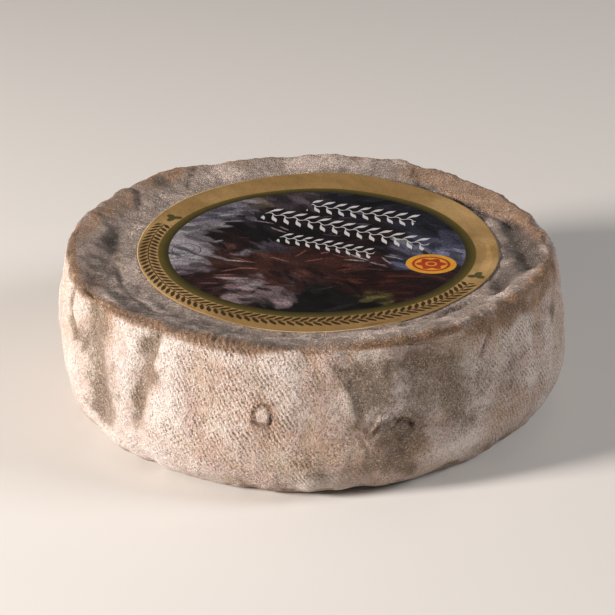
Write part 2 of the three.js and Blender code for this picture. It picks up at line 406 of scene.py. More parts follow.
# where the rind has taken colour, and on the top some painted shade as well: angle, height or
# distance, half-width, half-length, amount
stains = {
    "mould": [
        (-51, 12, 5.4, 3.8, 0.9), (-50.5, 22, 6, 5, 0.5), (-54.5, 35, 4, 5, 0.4),
        (-37, 32, 3.4, 6, 0.3), (17, 30, 12, 8, 0.5), (25, 35.5, 5, 3, 0.5), (9.5, 31, 2.6, 4, 0.5),
        (23, 35, 6, 4, 0.7), (12, 33, 7, 5, 0.45), (22, 24, 11, 7, 0.55), (19.5, 16, 6, 5.4, 1.5),
        (3, 29, 7, 7, 0.42), (0, 21, 5, 4, 0.25), (-12, 33, 8, 3, 0.22), (15, 10, 6, 3.4, 0.7),
        (22, 6.5, 3, 3, 0.8), (9, 25, 3, 5, 0.5), (36, 22, 8, 8, 0.7), (40, 16, 5, 4, 0.5),
        (33, 33, 6, 5, 0.45), (45, 5, 2.5, 2, 0.8), (2, 9, 4, 3, 0.5), (-2, 13, 2.4, 2, 0.45),
        (49, 24, 5, 6, 0.5), (61, 31, 5, 3, 0.55), (70, 32, 3.6, 3.4, 0.9), (103, 22, 8, 9, 0.8),
        (125, 31, 8, 6, 0.7), (136, 14, 6, 7, 0.7), (152, 28, 5, 10, 0.8), (-172, 20, 14, 9, 0.75),
        (-150, 12, 6, 7, 0.6), (-128, 27, 4, 10, 0.85), (-110, 17, 7, 8, 0.7), (-96, 30, 4, 7, 0.5),
    ],
    # mould along a hollow: path of (angle, height), half-width, amount
    "mouldStreaks": [
        ([(-55.5, 41), (-55, 32), (-52, 26), (-50.5, 19), (-51, 12)], 4.6, 0.85),
        ([(-54, 31), (-51.8, 25), (-50.8, 19), (-51.6, 13)], 1.8, 0.8),
        ([(-68, 38), (-65, 31), (-59.5, 28)], 2.2, 1.0),
        ([(-36.5, 40), (-37.5, 31), (-38.5, 23), (-39.5, 16)], 3.2, 0.75),
        ([(-36.8, 36), (-38, 28), (-39, 21)], 1.4, 0.6),
        ([(-77, 36), (-76, 26)], 1.2, 0.5),
        ([(8.5, 30), (10, 25), (11, 18), (13, 13)], 1.4, 0.25),
    ],
    "warm": [
        (-12, 20, 9, 8, 1.0), (-16, 28, 10, 6, 0.8), (-18, 32, 4, 3, 0.6), (-31, 14, 5, 4, 0.3),
        (-17, 13, 6, 4, 0.6), (-2, 14, 4, 4, 0.35), (2, 17, 4, 4, 0.3), (49, 23, 6, 6, 0.5),
        (60, 30, 8, 4, 0.5), (68, 20, 9, 9, 0.35), (24, 37, 9, 2, 0.5), (-90, 20, 12, 9, 0.3),
        (110, 12, 12, 6, 0.4), (165, 33, 10, 5, 0.4),
    ],
    "bloom": [
        (-64, 18, 8, 8, 0.9), (-74, 25, 5, 12, 0.8), (-44, 28, 3.6, 12, 1.1), (-60, 36, 2.4, 4, 0.7),
        (-30, 28, 5, 10, 0.5), (-32, 8, 12, 5, 0.6), (-5, 30, 6, 5, 0.1), (31, 11, 6, 5, 0.9),
        (40, 8, 6, 4, 0.7), (34, 31, 3.5, 4, 0.6), (46, 31, 5, 4, 0.6), (5, 5, 10, 4, 0.5),
        (60, 8, 8, 4, 0.5), (88, 28, 7, 8, 0.6), (-140, 24, 6, 9, 0.6), (175, 8, 12, 4, 0.6),
        (-40, 18, 6, 8, 0.7), (-47, 8, 8, 5, 0.6),
    ],
    # grey-black stain, with painted shade in the dents and creases and just outside the label's edge
    "topDarkStainAndShade": [
        (-93, 51.2, 6, 2.4, 1.0), (-114, 55, 7, 4, 0.45), (-80, 52.5, 6, 2, 0.4),
        (-54, 57.5, 12, 2.4, 0.5), (-30, 59, 12, 2.2, 0.6), (-8, 60, 9, 1.6, 0.7),
        (14, 47.5, 6, 1.3, 0.9), (26, 48.6, 4, 1.2, 0.8), (-40, 50, 5, 1.6, 0.5),
        (44, 48.4, 5, 1.8, 0.9), (63, 51.8, 3.8, 3.2, 1.0), (58, 54, 2.4, 2, 0.5),
        (79, 55, 5, 2.8, 1.4), (85, 54.2, 5.4, 3.2, 1.4), (94, 53.4, 6, 2.6, 1.1),
        (104, 53.8, 5, 2.4, 0.8), (90, 49.5, 10, 1.6, 0.6), (119, 50, 8, 2.2, 1.0),
        (142, 49.4, 7, 2, 0.9), (72, 51, 5, 3, 0.6), (-136, 58, 3, 5, 0.7), (-122, 59, 5, 3, 0.5),
        (33, 58, 3, 1.4, 0.4), (170, 50.5, 8, 1.4, 0.4),
    ],
    "topPale": [
        (-38, 53, 4, 2, 0.6), (-72, 47, 7, 2.6, 1.1), (-47, 50, 6, 2.6, 0.9), (-28, 51, 5, 1.6, 0.6),
        (-8, 52, 9, 2.4, 0.9), (-62, 53, 5, 2, 0.5), (-100, 48, 5, 2, 0.7), (16, 54, 10, 3.2, 0.9),
        (35, 53.5, 4, 2.4, 0.7), (34, 57, 5, 2, 0.5), (52, 56, 5, 3, 0.7), (68, 51, 4, 2, 0.6),
        (76, 59, 8, 2, 0.6), (112, 56.5, 5, 3, 0.9), (140, 55, 6, 4, 0.7), (155, 60, 3, 2.5, 1.0),
        (180, 55, 18, 6, 0.6), (-152, 54, 8, 6, 0.6), (-125, 50, 5, 2, 0.5),
    ],
    # warm brown over the top's grey
    "topWarm": [
        (-118, 57, 10, 5, 1.0), (-138, 59, 7, 5, 1.0), (-98, 58.5, 9, 2.5, 0.9), (-160, 58, 6, 5, 0.6),
        (118, 57, 10, 5, 1.2), (98, 58, 9, 3.5, 1.1), (140, 56, 12, 5, 1.2), (126, 51, 8, 2, 0.7),
        (20, 47.5, 9, 1.6, 0.7), (70, 60.5, 14, 2, 1.0), (-4, 47.6, 10, 1.4, 0.5), (165, 60, 8, 3, 0.7),
        (-66, 57, 10, 2, 0.6), (-80, 50, 6, 3, 0.4), (56, 50, 6, 2, 0.5), (35, 50, 5, 2, 0.4),
    ],
    "deepest": (20, 15.5, 4.5, 3.4, 1.5),  # the darkest of the mould, nearly black
    # ochre on the rim: angles where it starts and is full, and where it starts to fade and ends
    "rimOchre": {"rightFront": (24, 38, 72, 92), "front": (4, 12, 32, 40), "left": (-108, -92, -12, 0)},
    "clothShows": [(24, 18, -0.6), (55, 15, 0.65), (-16, 20, 0.55)],  # angle, half-width in degrees, amount
}


def sideStains(at):
    # mould in the hollows, warm brown, and white bloom, which has the plug's face to itself
    radius = wheel["radius"]
    up = at.up + 0.8 * at.fine
    mould = blobs(at.drift, up, stains["mould"], radius)
    mould = mould + sum(amount * nearPath(at.drift * at.perDegree, up, path, at.perDegree, width)
                        for path, width, amount in stains["mouldStreaks"])
    mould = mould * (1.05 + 0.4 * at.cloud) + 0.16 * at.cloud - 0.07
    warm = blobs(at.drift, up, stains["warm"], radius) + 0.2 * at.cloud
    warm = warm + 1.7 * bell((at.fromPlug - 1.45) / 0.5)
    bloom = blobs(at.drift, up, stains["bloom"], radius) * (1 + 0.4 * at.cloud)
    bare = 1 - at.plugFace
    return {"mould": mould * bare, "warm": warm * bare, "bloom": bloom + at.plugFace}


def topStains(at):
    # grey-black stain and painted shade in the dents, the creases and along the label's edge,
    # rubbed pale places on the ridges, and warm brown
    ring = wheel["bareRing"]
    level = at.distance + 0.9 * at.fine
    dark = blobs(at.drift, level, stains["topDarkStainAndShade"], ring) + 0.25 * cloudNoise(at.plain, 5, 4, 141)
    pale = blobs(at.drift, level, stains["topPale"], ring) + 0.25 * cloudNoise(at.plain, 4, 4, 151)
    pale = pale + 0.4 * cloudNoise(aroundOnly(at, ring, at.distance * 0.2), 4, 3, 153)
    warm = blobs(at.drift, level, stains["topWarm"], ring) + 0.25 * cloudNoise(at.plain, 6, 4, 155)
    return {"topDarkStainAndShade": dark - 0.4 * at.relief, "topPale": pale + 0.7 * at.relief, "topWarm": warm}


def ochreStain(at):
    # ochre along the rim, in stretches that each spread by a bell from the crest, and at the foot
    angles = stains["rimOchre"]
    fromCrest = np.hypot(at.distance - wheel["crest"], at.height - wheel["height"] + 0.5)
    wander = 0.9 * softNoise(at.plain, 5, 161)
    strength = 0.55 + 0.45 * softNoise(aroundOnly(at, 60, 0 * at.height), 9, 171)
    line = 0.8 * bell((fromCrest + wander - 0.3) / 0.9) * strength
    below = bell((wheel["height"] - 2.2 + 0.6 * wander - at.height) / 2.7) * (at.distance > 58)
    band = stretch(at.angle, *angles["rightFront"]) * below * (0.85 + 0.6 * at.cloud)
    front = stretch(at.angle, *angles["front"]) * bell(fromCrest - 0.2)
    left = stretch(at.angle, *angles["left"]) * bell((fromCrest + 0.5 * wander - 0.2) / 1.5)
    behind = 0.8 * smooth(np.abs(at.angle), 95, 130) * bell(fromCrest / 3) * smooth(at.fine, -0.3, 0.6)
    foot = bell((at.distance - wheel["radius"] + 4) / 4) * smooth(at.height, 7, 1.5)
    damp = smooth(cloudNoise(at.plain, 5, 3, 181), 0.0, 0.6) + 0.5 * bell(turnFrom(at.angle, -42) / 18)
    return np.max([line, band, front, left * (1.3 + 0.6 * at.cloud), behind, 0.7 * foot * damp], axis=0)


def paintFoldShadeAndDeepMould(at):
    # painted shade as dark lines in the narrow folds of the side, in those of the top and round the
    # plug, and the deepest mould's own stain, all broken up by fine noise
    perDegree = math.radians(wheel["bareRing"])
    foldShade = at.onSide * sum(
        nearPath(at.across, at.up, path, at.perDegree, width)
        for path, width, amount in wheel["sideCreases"] if amount < 0 and width < 1)
    foldShade = foldShade + at.onTop * sum(
        nearPath(at.angle * perDegree, at.distance, path, perDegree, width)
        for path, width, amount in wheel["topCreases"])
    ring = bell((at.fromPlug - 1.3) / 0.3) * smooth(at.fine, -0.5, 0.3)
    middle, level, width, length, amount = stains["deepest"]
    up = at.up + 0.8 * at.fine
    deep = bell(np.hypot((at.drift - middle) * at.perDegree / width, (up - level) / length))
    foldShade = np.maximum(foldShade * smooth(at.fine, -0.7, 0.5), ring)
    return foldShade + amount * deep * smooth(at.fine, -0.6, 0.6)


def clothShows(at):
    # how plainly the cloth shows, round the side
    weave = 0.45 + 0.6 * at.cloud - 0.4 * smooth(at.height, 8, 0)
    weave = weave + sum(amount * bell(turnFrom(at.angle, middle) / width)
                        for middle, width, amount in stains["clothShows"])
    return np.clip(weave, 0.04, 1.1) * (1 - at.plugFace)


def wheelMarks(at):
    # what each point of the rind has taken, from 0 to 1, and how far it is from the plug, to 4
    at.cloud = cloudNoise(at.plain, 7, 4, 111)
    at.fine = cloudNoise(at.plain, 2.4, 3, 121)
    at.drift = at.angle + 1.8 * cloudNoise(at.plain, 9, 3, 131)
    marks = {**sideStains(at), **topStains(at), "relief": 0.5 + 0.9 * at.relief, "ochre": ochreStain(at),
             "foldShadeAndDeepMould": paintFoldShadeAndDeepMould(at), "weave": clothShows(at), "topFace": at.onTop}
    marks = {name: np.clip(values, 0, 1) for name, values in marks.items()}
    marks["fromPlug"] = np.clip(at.fromPlug, 0, 4)
    return marks


def ringFaces(rings, columns):
    # the corners (ring, column) of every face; the first and last rings are single points, so
    # their faces are triangles, and the rest are quads that look outwards
    column = np.arange(columns)
    ring = np.arange(1, rings - 2)
    i, j = (grid.ravel() for grid in np.meshgrid(ring, column, indexing="ij"))
    quads = np.stack([[i, j], [i, j + 1], [i + 1, j + 1], [i + 1, j]], axis=-1)
    first, last = 0 * column, 0 * column + rings - 1
    low = np.stack([[first, column + 0.5], [first + 1, column + 1], [first + 1, column]], axis=-1)
    high = np.stack([[last - 1, column], [last - 1, column + 1], [last, column + 0.5]], axis=-1)
    return [np.moveaxis(low, 0, -1), np.moveaxis(quads, 0, -1), np.moveaxis(high, 0, -1)]


def makeRingMesh(name, points, marks, maps):
    # a closed surface from rings of points, whose first and last rings shrink to a point each
    rings, columns = points.shape[:2]
    inner = points[1:-1].reshape(-1, 3)
    spots = np.vstack([points[0].mean(0), inner, points[-1].mean(0)]) * mm
    groups = ringFaces(rings, columns)
    faces, corners, firstColumn = [], [], []
    for group in groups:
        ring, column = group[..., 0], group[..., 1]
        index = 1 + (ring - 1) * columns + np.floor(column) % columns
        index = np.where(ring == 0, 0, np.where(ring == rings - 1, len(spots) - 1, index)).astype(int)
        faces += index.tolist()
        corners.append(group.reshape(-1, 2))
        firstColumn.append(np.repeat(np.floor(column.min(axis=1)), group.shape[1]))
    mesh = bpy.data.meshes.new(name)
    mesh.from_pydata(spots.tolist(), [], faces)
    corners, firstColumn = np.vstack(corners), np.concatenate(firstColumn)
    for mapName, place in maps.items():
        uv = place(corners[:, 0].astype(int), corners[:, 1], firstColumn)
        layer = mesh.uv_layers.new(name=mapName)
        layer.data.foreach_set("uv", uv.astype(np.float32).ravel())
    for markName, values in marks.items():
        flat = np.concatenate([values[0].mean(0)[None], values[1:-1].reshape(-1, *values.shape[2:]),
                               values[-1].mean(0)[None]])
        colours = flat.ndim == 2
        kind = "FLOAT_COLOR" if colours else "FLOAT"
        attribute = mesh.attributes.new(markName, kind, "POINT")
        attribute.data.foreach_set("color" if colours else "value", flat.astype(np.float32).ravel())
    mesh.shade_smooth()
    mesh.update()
    piece = bpy.data.objects.new(name, mesh)
    bpy.context.scene.collection.objects.link(piece)
    return piece


def makeWheel():
    points, marks = makeWheelSurface()
    rings, columns = points.shape[:2]
    distance, height = wheelProfile(np.array([0.0]))
    steps = np.hypot(np.diff(distance[:, 0]), np.diff(height[:, 0]))
    along = np.concatenate([[0], np.cumsum(steps)])
    count = wheel["rings"]
    baseEnd, topEnd = count["base"] - 1, rings - count["covered"] - 1
    importance = np.ones(rings - 1)
    importance[:baseEnd] = 0.3  # the base and what the label covers need less of the texture
    importance[topEnd:] = 0.1
    share = np.concatenate([[0], np.cumsum(steps * importance)])
    share = share / share[-1]

    def bakePlace(ring, column, firstColumn):
        # two strips, one for each half of the way round
        half = columns / 2
        upper = firstColumn >= half
        u = (column - upper * half) / half
        return np.stack([0.01 + 0.98 * u, 0.01 + 0.48 * share[ring] + 0.5 * upper], axis=-1)

    def clothPlace(ring, column, firstColumn):
        # millimetres round the belly and millimetres along the profile
        return np.stack([column / columns * clothRound, along[ring]], axis=-1)

    piece = makeRingMesh("wheelOfCheese", points, marks, {"Cloth": clothPlace, "OFBake": bakePlace})
    print("wheel surface:", rings, "rings by", columns, "columns")
    return piece


cloth = {"pitch": 1.02, "slant": 58, "crossPitch": 1.15}  # mm, and degrees from level
clothRound = 2 * math.pi * wheel["radius"]


def makeLabelSurface():
    # a disc whose under face follows the rind's top at the clearance above it; the paper has slow
    # waves of its own and lifts a little along parts of its edge, which is trimmed a little short
    # at the right front and the left front
    angle = np.linspace(-180, 180, label["columns"], endpoint=False)
    under = np.linspace(0, 1, label["underRings"])
    outer = label["overRings"] // 5
    rim, inner = np.linspace(1, 0.8, outer + 1), np.linspace(0.8, 0, label["overRings"] - outer)
    share = np.concatenate([under, rim, inner[1:]])[:, None] * np.ones_like(angle)
    angle = np.broadcast_to(angle, share.shape)
    trim = 1 + 0.0022 * np.sin(np.radians(angle * 2 + 40)) + 0.0012 * np.sin(np.radians(angle * 7))
    trim = trim - sum(amount * bell((angle - middle) / width) for middle, width, amount in label["cuts"])
    radius = share * label["radius"] * trim
    x = label["middle"][0] + radius * np.sin(np.radians(angle))
    y = label["middle"][1] - radius * np.cos(np.radians(angle))
    distance, turn = np.hypot(x, y), np.degrees(np.arctan2(x, -y))
    rest = dishHeight(turn, distance) + topSwell(turn, distance, label["bridging"])
    flat = np.stack([x, y, 0 * x], axis=-1)
    waves = sum(rise * (1 + cloudNoise(flat, spacing, 2, seed)) for rise, spacing, seed in label["waves"])
    lifted = label["edgeLift"] * smooth(share, 0.9, 1) * np.clip(softNoise(flat, 11, 211), 0, 1)
    isOver = np.arange(share.shape[0])[:, None] >= label["underRings"]
    height = rest + label["clearance"] + waves + lifted + label["thickness"] * isOver
    return np.stack([x, y, height], axis=-1), share, angle


labelPrint = {
    "goldFrom": 40.6,  # mm from the print's middle
    "oliveFrom": 37.9,
    # how many, the range of half-lengths and of half-widths in mm
    "strokes": (1000, (1.6, 5.6), (0.55, 1.7)),
    "glints": (59, (1, 3.2), (0.2, 0.4)),
    "strokeTones": ([0.25, 0.5, 0.85, 1.5, 2.8], [0.24, 0.27, 0.24, 0.17, 0.08]),  # and their shares
    "glintTones": (5, 10),
    "middle": (-0.3, -1.1),  # of the print, from the label's middle
    "squash": 1.085,  # the print's ring is this much wider than it is deep
    # painted patches: x, y from the label's middle in mm, half-size, colour
    "patches": [
        (-11, 13, 11, "120c10"), (8, 6, 13, "1c1012"), (-2, -10, 12, "3c211c"), (14, -19, 12, "32140f"),
        (6, -29, 11, "120e10"), (-30, -20, 7, "331d1b"), (-22, -10, 7, "422620"), (-8, 28, 7, "41383d"),
        (14, 28, 12, "191821"), (28, 14, 10, "20212d"), (30, -22, 9, "2a1414"), (-27, 6, 4.5, "1d1214"),
        (-20, 3, 4.5, "2b1818"), (-35, 7, 5, "a29ba2"), (-32, 13, 4.5, "8d8791"),
        (-34, -5, 5, "979098"), (-30, -11, 4, "7a6f78"), (-25, 23, 5.5, "7c7784"),
        (-20, 18, 3.5, "57535e"), (-15, 28, 4, "6b5e53"), (-19, -23, 3.2, "8a777a"),
        (-9, -27, 2.6, "6f6063"), (14, -27, 3.0, "6b6236"), (22, -2, 4.5, "74758a"),
        (36, -5, 3.6, "80809a"), (34, 3, 4, "505266"), (21, -9, 3.4, "474a5e"), (26, 4, 4, "3d3f50"),
        (-4, 34, 5, "3c3436"), (4, -12, 5, "47281f"), (10, -3, 4, "38201e"), (18, -12, 4, "26181c"),
        (-13, -8, 4, "4b2b23"), (-18, -3, 2.6, "7a7076"), (-12, 2, 2.6, "4a4450"),
    ],
}


def colour(text):
    # the linear value of an sRGB colour written as six hex digits
    parts = np.array([int(text[k:k + 2], 16) for k in (0, 2, 4)]) / 255
    return np.where(parts <= 0.04045, parts / 12.92, ((parts + 0.055) / 1.055) ** 2.4)


def paintField(x, y):
    # broad patches with wandering edges, each point taking the mean of the patches near it, then
    # loose brush strokes over them and last a few thin pale glints
    flat = np.stack([x, y, 0 * x], axis=-1)
    warpX = x + 3.4 * cloudNoise(flat, 8, 3, 221)
    warpY = y + 3.4 * cloudNoise(flat, 8, 3, 231)
    paint, total = 0, 0
    for middleX, middleY, size, patchColour in labelPrint["patches"]:
        near = bell(np.hypot(warpX - middleX, warpY - middleY) / size) + 1e-4
        weight = (near**3 * (1 + 14 / size))[..., None]
        paint, total = paint + weight * colour(patchColour), total + weight
    paint = paint / total
    rng = np.random.default_rng(7)
    count, glints = labelPrint["strokes"][0], labelPrint["glints"][0]
    for stroke in range(count):
        paint = brushOver(paint, x, y, rng, stroke >= count - glints)
    return paint


def brushOver(paint, x, y, rng, glint):
    # one stroke: a slightly bent oval that follows a slow swirl, in the nearest patch's colour made
    # lighter or darker; a glint is thinner, paler and nearer the middle
    middleX, middleY = rng.uniform(-39, 39, 2)
    fromX, fromY = middleX + rng.normal(0, 2), middleY + rng.normal(0, 2)
    nearest = min(labelPrint["patches"], key=lambda p: math.hypot(p[0] - fromX, p[1] - fromY) / p[2])
    swirl = -22 + 34 * math.sin(middleX / 8 + 1.4 * math.cos(middleY / 7))
    turn = math.radians(swirl + rng.normal(0, 12))
    halfLength, halfWidth = (rng.uniform(*sizes) for sizes in labelPrint["strokes"][1:])
    tones, shares = labelPrint["strokeTones"]
    bright = rng.choice(tones, p=shares)
    if glint:
        middleX, middleY = 0.6 * middleX - 4, 0.6 * middleY - 2
        halfLength, halfWidth = (rng.uniform(*sizes) for sizes in labelPrint["glints"][1:])
        bright = rng.uniform(*labelPrint["glintTones"])
    along = (x - middleX) * math.cos(turn) + (y - middleY) * math.sin(turn)
    beside = (y - middleY) * math.cos(turn) - (x - middleX) * math.sin(turn)
    beside = beside + 0.02 * along**2 * rng.choice([-1, 1])
    cover = smooth(np.hypot(along / halfLength, beside / halfWidth), 1.1, 0.8)
    bristle = 0.88 + 0.12 * np.sin(beside * 9 + rng.uniform(0, 6))
    laid = np.clip(colour(nearest[3]) * bright + 0.003 * bright, 0, 0.45)
    cover = (cover * bristle * rng.uniform(0.5, 0.95))[..., None]
    return paint * (1 - cover) + laid * cover


def makeLabel():
    points, share, angle = makeLabelSurface()
    rings, columns = points.shape[:2]
    x, y = points[..., 0] - label["middle"][0], points[..., 1] - label["middle"][1]
    paint = paintField(x, y)
    paint = np.concatenate([paint, np.ones_like(x)[..., None]], axis=-1)
    turn = 2 * math.pi / columns

    def bakePlace(ring, column, firstColumn):
        # the printed face as a large disc and the under face as a small one in the corner
        over = ring >= label["underRings"]
        reach = share[ring, 0] * np.where(over, 0.47, 0.08)
        middle = np.where(over, 0.5, 0.09)
        around = column * turn - math.pi
        return np.stack([middle + reach * np.sin(around), middle - reach * np.cos(around)], axis=-1)

    piece = makeRingMesh("paperLabel", points, {"paint": paint}, {"OFBake": bakePlace})
    print("label surface:", rings, "rings by", columns, "columns")
    return piece


class Nodes:
    # a short way to write a material's nodes: every call returns a socket to pass on
    def __init__(self, name):
        self.material = bpy.data.materials.new(name)
        self.material.use_nodes = True
        self.tree = self.material.node_tree
        self.shader = self.tree.nodes["Principled BSDF"]

    def link(self, socket, value):
        if isinstance(value, bpy.types.NodeSocket):
            self.tree.links.new(value, socket)
        elif value is not None:
            socket.default_value = value

    def add(self, kind, inputs=None, output=0, **settings):
        node = self.tree.nodes.new(kind)
        for key, value in settings.items():
            setattr(node, key, value)
        for key, value in (inputs or {}).items():
            self.link(node.inputs[key], value)
        return node.outputs[output]

    def calc(self, operation, first, second=None, third=None):
        node = self.tree.nodes.new("ShaderNodeMath")
        node.operation = operation
        for socket, value in zip(node.inputs, (first, second, third)):
            self.link(socket, value)
        return node.outputs[0]

    def times(self, first, second):
        return self.calc("MULTIPLY", first, second)

    def plus(self, first, second):
        return self.calc("ADD", first, second)

    def minus(self, first, second):
        return self.calc("SUBTRACT", first, second)

    def sway(self, value, amount, onto=0.0):
        # a noise's swing about its middle, times the amount, added onto another value
        return self.calc("MULTIPLY_ADD", self.minus(value, 0.5), amount, onto)

    def size(self, across, up):
        # the length of a flat vector
        return self.calc("SQRT", self.plus(self.times(across, across), self.times(up, up)))

    def fit(self, value, low, high, toLow=0.0, toHigh=1.0):
        # eases a value from the range low..high to toLow..toHigh
        keys = {"Value": value, "From Min": low, "From Max": high, "To Min": toLow, "To Max": toHigh}
        return self.add("ShaderNodeMapRange", keys, interpolation_type="SMOOTHSTEP")

    def within(self, value, low, high, soft=0.12):
        # 1 between low and high, with soft edges
        above, below = self.fit(value, low - soft, low + soft), self.fit(value, high + soft, high - soft)
        return self.times(above, below)

    def mix(self, amount, below, above, blend="MIX"):
        node = self.tree.nodes.new("ShaderNodeMix")
        node.data_type = "RGBA"
        node.blend_type = blend
        self.link(node.inputs[0], amount)
        self.link(node.inputs[6], tint(below))
        self.link(node.inputs[7], tint(above))
        return node.outputs[2]

    def shaded(self, under, grey):
        # a colour made lighter or darker
        grey = self.add("ShaderNodeCombineColor", {0: grey, 1: grey, 2: grey})
        return self.mix(1.0, under, grey, "MULTIPLY")

    def noise(self, vector, perMm, detail=3.0, roughness=0.6, output=0):
        # waves per mm
        keys = {"Vector": vector, "Scale": perMm / mm, "Detail": detail, "Roughness": roughness}
        return self.add("ShaderNodeTexNoise", keys, output)

    def mark(self, name):
        return self.add("ShaderNodeAttribute", output=2, attribute_name=name)

    def bump(self, height, distance):
        return self.add("ShaderNodeBump", {"Height": height, "Distance": distance, "Strength": 1.0})


def tint(value):
    return (*colour(value), 1) if isinstance(value, str) else value


rind = {
    "cream": "dccdc0",
    "pink": "cdb2a7",
    "bloom": "f3e8e1",
    "pit": "93683c",
    "hollow": "b8956c",
    "warm": "ab7b56",
    "mouldDark": "463014",
    "mouldPale": "8a7050",
    "ochre": "8a6238",
    "ochreDark": "573c1c",
    "topGrey": "958478",
    "topPale": "cdb9ac",
    "topWarm": "9c7249",
    # grey-black for the top's stain and painted shade
    "topDarkStainAndShade": "43362c",
    "speck": "6c4c2e",
    # dark brown for painted shade in the folds and for the deepest mould
    "foldShadeAndDeepMould": "3f2d1f",
    "weaveDepth": 0.22,  # mm
    "grainDepth": 0.76,
    "roughness": (0.78, 0.95),
    "specular": 0.3,
    "sheen": (0.12, 0.6),  # amount, roughness
}


def rindNoises(n):
    # five sizes of mottling, from finger-wide clouds to grit
    place = n.add("ShaderNodeTexCoord", output=3)
    return SimpleNamespace(
        place=place,
        cloudy=n.noise(place, 0.09, 4),
        patchy=n.noise(place, 0.32, 5, 0.65),
        speck=n.noise(place, 1.1, 4, 0.7),
        dust=n.noise(place, 2.2, 3, 0.75),
        grit=n.noise(place, 3.2, 2),
    )


def clothThreads(n, see):
    # the cloth's imprint: two sets of threads at a slant, each a sine, bent a little by the rind
    thread = n.add("ShaderNodeUVMap", uv_map="Cloth")
    for perMm, detail, bend in ((0.28, 3.0, 1.3), (1.3, 2.0, 0.5)):
        swing = n.noise(see.place, perMm, detail, 0.5, output=1)
        swing = n.add("ShaderNodeVectorMath", {0: swing, 1: (0.5, 0.5, 0.5)}, operation="SUBTRACT")
        swing = n.add("ShaderNodeVectorMath", {0: swing, "Scale": bend}, operation="SCALE")
        thread = n.add("ShaderNodeVectorMath", {0: thread, 1: swing}, operation="ADD")
    thread = n.add("ShaderNodeVectorRotate", {"Vector": thread, "Angle": math.radians(cloth["slant"])},
                   rotation_type="Z_AXIS")
    parts = n.tree.nodes.new("ShaderNodeSeparateXYZ")
    n.link(parts.inputs[0], thread)
    ribs = n.calc("SINE", n.times(parts.outputs[1], 2 * math.pi / cloth["pitch"]))
    ticks = n.calc("SINE", n.times(parts.outputs[0], 2 * math.pi / cloth["crossPitch"]))
    knit = n.plus(n.times(ribs, 0.72), n.times(ticks, 0.36))
    return ribs, n.sway(see.speck, 1.7, knit)


def sideColour(n, see, ribs, weave, pits):
    # from the pale rind out to what lies on it
    side = n.mix(n.fit(see.cloudy, 0.38, 0.62), rind["cream"], rind["pink"])
    side = n.mix(n.fit(see.patchy, 0.45, 0.7, 0, 0.35), side, rind["bloom"])
    relief = n.mark("relief")
    side = n.mix(n.fit(relief, 0.5, 0.85, 0, 0.6), side, rind["bloom"])
    side = n.mix(n.fit(relief, 0.48, 0.15, 0, 0.45), side, rind["hollow"])
    grooves = n.times(n.fit(ribs, 0.1, -0.9), weave)
    side = n.mix(n.times(grooves, 0.22), side, rind["hollow"])
    side = n.mix(n.times(pits, 0.75), side, rind["pit"])
    warm = n.fit(n.plus(see.speck, n.times(pits, 0.3)), 0.42, 0.7, 0, 0.8)
    side = n.mix(n.times(n.mark("warm"), warm), side, rind["warm"])
    side = n.mix(n.times(see.bloom, n.fit(see.patchy, 0.35, 0.6, 0, 0.75)), side, rind["bloom"])
    mould = n.sway(see.patchy, 1.3, n.sway(see.grit, 2.4, n.sway(see.speck, 1.8, see.mould)))
    mould = n.plus(mould, n.times(pits, 0.15))
    mouldColour = n.mix(n.fit(see.grit, 0.3, 0.7), rind["mouldDark"], rind["mouldPale"])
    return n.mix(n.fit(mould, 0.24, 0.84, 0, 0.85), side, mouldColour)


def topColour(n, see):
    # greyer and more felted than the side
    felt = n.plus(n.sway(see.speck, 1.2), n.sway(see.grit, 0.5))
    pale = n.plus(n.mark("topPale"), n.times(felt, 1.2))
    top = n.mix(n.fit(pale, 0.0, 0.8), rind["topGrey"], rind["topPale"])
    warm = n.plus(n.mark("topWarm"), n.times(felt, 0.8))
    top = n.mix(n.fit(warm, 0.2, 0.9, 0, 0.75), top, rind["topWarm"])
    # painted shade and grey-black stain in the dents, the creases and along the label's edge
    dark = n.plus(n.mark("topDarkStainAndShade"), n.times(felt, 0.8))
    return n.mix(n.fit(dark, 0.15, 0.95, 0, 0.92), top, rind["topDarkStainAndShade"])


def plugColour(n, see, skin):
    # a warm halo, a ragged brown ring and a pale face
    fromPlug = n.sway(see.speck, 2.6, n.mark("fromPlug"))
    skin = n.mix(n.fit(fromPlug, 3.0, 1.3, 0, 0.55), skin, rind["warm"])
    ring = n.times(n.within(fromPlug, 1.0, 1.5), n.fit(see.grit, 0.36, 0.56, 0.0, 0.9))
    skin = n.mix(ring, skin, rind["mouldDark"])
    return n.mix(n.fit(fromPlug, 1.0, 0.7, 0, 0.35), skin, rind["bloom"])


def dustColour(n, see, skin):
    # brown and white specks, stronger in the mould and fainter in the bloom
    strength = n.plus(see.patchy, n.minus(n.times(see.mould, 0.14), n.times(see.bloom, 0.16)))
    strength = n.fit(strength, 0.34, 0.56, 0.3, 1.0)
    skin = n.mix(n.times(n.fit(see.dust, 0.48, 0.35, 0, 0.9), strength), skin, rind["speck"])
    skin = n.mix(n.times(n.fit(see.dust, 0.54, 0.68, 0, 0.5), strength), skin, rind["bloom"])
    return n.shaded(skin, n.fit(n.plus(see.grit, see.speck), 0.78, 1.22, 0.7, 1.16))


